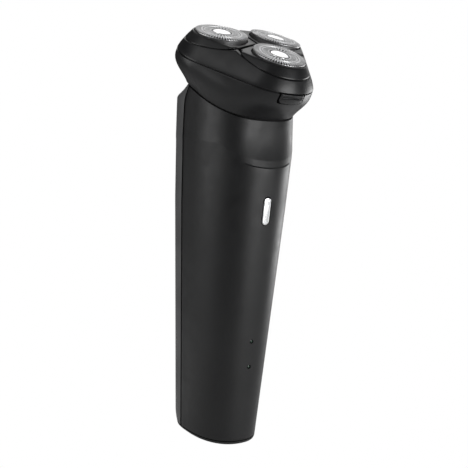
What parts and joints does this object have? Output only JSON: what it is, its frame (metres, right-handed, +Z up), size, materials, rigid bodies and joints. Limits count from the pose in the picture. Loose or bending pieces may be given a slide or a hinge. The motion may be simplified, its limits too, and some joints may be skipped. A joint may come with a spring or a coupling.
{
  "type": "electric shaver",
  "caption": "Cordless rotary shaver: tapered black handle, tilted hinge-open head with floating round shaving caps, silver power button.",
  "frame": {"origin": "on the flat underside of the base, at the handle's axis", "axes": "+Z up the handle, -Y towards the front with the power button, +X to the right as seen from the front"},
  "size_m": [0.0588, 0.0641, 0.1724],
  "materials": {
    "shell_plastic": "fine matt moulded, charcoal black",
    "rear_plastic": "fine matt moulded, slightly lighter charcoal",
    "head_plastic": "satin moulded black",
    "button_trim": "satin silver",
    "cap_steel": "turned and slotted steel",
    "hub_steel": "polished",
    "inner_plastic": "plain moulded",
    "nylon": "plain moulded nylon",
    "soft_seal": "matt",
    "lamp_lens": "translucent",
    "works_steel": "plain steel",
    "pinion_brass": "machined",
    "board": "solder mask",
    "cell_wrap": "shrink wrap",
    "lead_red": "wire sleeve",
    "lead_black": "wire sleeve"
  },
  "bodies": {
    "handle": {"front_shell": "shell_plastic", "rear_cover": "rear_plastic", "base_cap": "shell_plastic", "charging_socket": "works_steel", "battery_cell": "cell_wrap", "battery_tab_lower": "works_steel", "battery_tab_upper": "works_steel", "inner_chassis": "inner_plastic", "neck_seal": "soft_seal", "motor_lead_red": "lead_red", "motor_lead_black": "lead_black", "button_gasket": "soft_seal", "circuit_board": "board", "tact_switch": "works_steel", "status_lens_upper": "lamp_lens", "status_lens_lower": "lamp_lens", "status_led_upper": "nylon", "status_led_lower": "nylon", "board_screw_1": "works_steel", "board_screw_2": "works_steel", "hair_chamber": "head_plastic", "hinge_pin": "works_steel", "gearbox_plate": "inner_plastic", "gearbox_cover": "inner_plastic", "motor_can": "works_steel", "motor_end_cap": "nylon", "gearbox_screw_1": "works_steel", "gearbox_screw_2": "works_steel", "gearbox_screw_3": "works_steel", "release_spring": "works_steel"},
    "power_button": {"power_button": "button_trim"},
    "release_button": {"release_button": "head_plastic"},
    "rotor": {"motor_shaft": "works_steel", "drive_pinion": "pinion_brass"},
    "lid": {"head_frame": "head_plastic"},
    "pod_front": {"pod_front": "head_plastic", "retainer_ring_front": "nylon"},
    "cap_front": {"shaving_cap_front": "cap_steel", "cap_hub_front": "hub_steel"},
    "cutter_front": {"cutter_front": "works_steel"},
    "gear_front": {"drive_gear_front": "nylon", "spindle_front": "works_steel", "spindle_spring_front": "works_steel"},
    "pod_right": {"pod_right": "head_plastic", "retainer_ring_right": "nylon"},
    "cap_right": {"shaving_cap_right": "cap_steel", "cap_hub_right": "hub_steel"},
    "cutter_right": {"cutter_right": "works_steel"},
    "gear_right": {"drive_gear_right": "nylon", "spindle_right": "works_steel", "spindle_spring_right": "works_steel"},
    "pod_left": {"pod_left": "head_plastic", "retainer_ring_left": "nylon"},
    "cap_left": {"shaving_cap_left": "cap_steel", "cap_hub_left": "hub_steel"},
    "cutter_left": {"cutter_left": "works_steel"},
    "gear_left": {"drive_gear_left": "nylon", "spindle_left": "works_steel", "spindle_spring_left": "works_steel"}
  },
  "joints": [
    {"name": "power_button_press", "type": "slide", "parent": "handle", "child": "power_button", "axis": [0, 0.9983, 0.0582], "range_m": [0, 0.0006], "stiffness_N_per_m": 400},
    {"name": "release_button_press", "type": "slide", "parent": "handle", "child": "release_button", "axis": [0, 0.9461, 0.3239], "range_m": [0, 0.0012], "stiffness_N_per_m": 400, "deforming": ["release_spring"]},
    {"name": "lid_flip", "type": "hinge", "parent": "handle", "child": "lid", "pos_m": [0, 0.01554, 0.16511], "axis": [-1, 0, 0], "range_deg": [0, 105]},
    {"name": "motor_spin", "type": "hinge", "parent": "handle", "child": "rotor", "pos_m": [0, -0.00685, 0.15147], "axis": [0, -0.3239, 0.9461], "continuous": true},
    {"name": "pod_tilt_front", "type": "hinge", "parent": "lid", "child": "pod_front", "pos_m": [0, -0.02373, 0.15754], "axis": [-1, 0, 0], "range_deg": [0, 6], "stiffness_Nm_per_rad": 0.4, "springref_deg": -2.86},
    {"name": "cap_float_front", "type": "slide", "parent": "pod_front", "child": "cap_front", "axis": [0, 0.3891, -0.9212], "range_m": [0, 0.0008], "stiffness_N_per_m": 800, "springref_m": -0.0005},
    {"name": "cutter_spin_front", "type": "hinge", "parent": "cap_front", "child": "cutter_front", "pos_m": [0, -0.02667, 0.16181], "axis": [0, -0.3891, 0.9212], "continuous": true},
    {"name": "gear_spin_front", "type": "hinge", "parent": "handle", "child": "gear_front", "pos_m": [0, -0.02104, 0.14661], "axis": [0, -0.3239, 0.9461], "continuous": true},
    {"name": "pod_tilt_right", "type": "hinge", "parent": "lid", "child": "pod_right", "pos_m": [0.01212, -0.00386, 0.16434], "axis": [0.5, -0.8193, -0.2805], "range_deg": [0, 6], "stiffness_Nm_per_rad": 0.4, "springref_deg": -2.86},
    {"name": "cap_float_right", "type": "slide", "parent": "pod_right", "child": "cap_right", "axis": [-0.0604, 0.2901, -0.9551], "range_m": [0, 0.0008], "stiffness_N_per_m": 800, "springref_m": -0.0005},
    {"name": "cutter_spin_right", "type": "hinge", "parent": "cap_right", "child": "cutter_right", "pos_m": [0.01334, -0.00481, 0.16929], "axis": [0.0604, -0.2901, 0.9551], "continuous": true},
    {"name": "gear_spin_right", "type": "hinge", "parent": "handle", "child": "gear_right", "pos_m": [0.01299, 0.00024, 0.1539], "axis": [0, -0.3239, 0.9461], "continuous": true},
    {"name": "pod_tilt_left", "type": "hinge", "parent": "lid", "child": "pod_left", "pos_m": [-0.01212, -0.00386, 0.16434], "axis": [0.5, 0.8193, 0.2805], "range_deg": [0, 6], "stiffness_Nm_per_rad": 0.4, "springref_deg": -2.86},
    {"name": "cap_float_left", "type": "slide", "parent": "pod_left", "child": "cap_left", "axis": [0.0604, 0.2901, -0.9551], "range_m": [0, 0.0008], "stiffness_N_per_m": 800, "springref_m": -0.0005},
    {"name": "cutter_spin_left", "type": "hinge", "parent": "cap_left", "child": "cutter_left", "pos_m": [-0.01334, -0.00481, 0.16929], "axis": [-0.0604, -0.2901, 0.9551], "continuous": true},
    {"name": "gear_spin_left", "type": "hinge", "parent": "handle", "child": "gear_left", "pos_m": [-0.01299, 0.00024, 0.1539], "axis": [0, -0.3239, 0.9461], "continuous": true}
  ],
  "couplings": [
    {"joint": "gear_spin_front", "follows": "motor_spin", "ratio": -0.66667},
    {"joint": "cutter_spin_front", "follows": "motor_spin", "ratio": -0.66667},
    {"joint": "gear_spin_right", "follows": "motor_spin", "ratio": -0.66667},
    {"joint": "cutter_spin_right", "follows": "motor_spin", "ratio": -0.66667},
    {"joint": "gear_spin_left", "follows": "motor_spin", "ratio": -0.66667},
    {"joint": "cutter_spin_left", "follows": "motor_spin", "ratio": -0.66667}
  ]
}
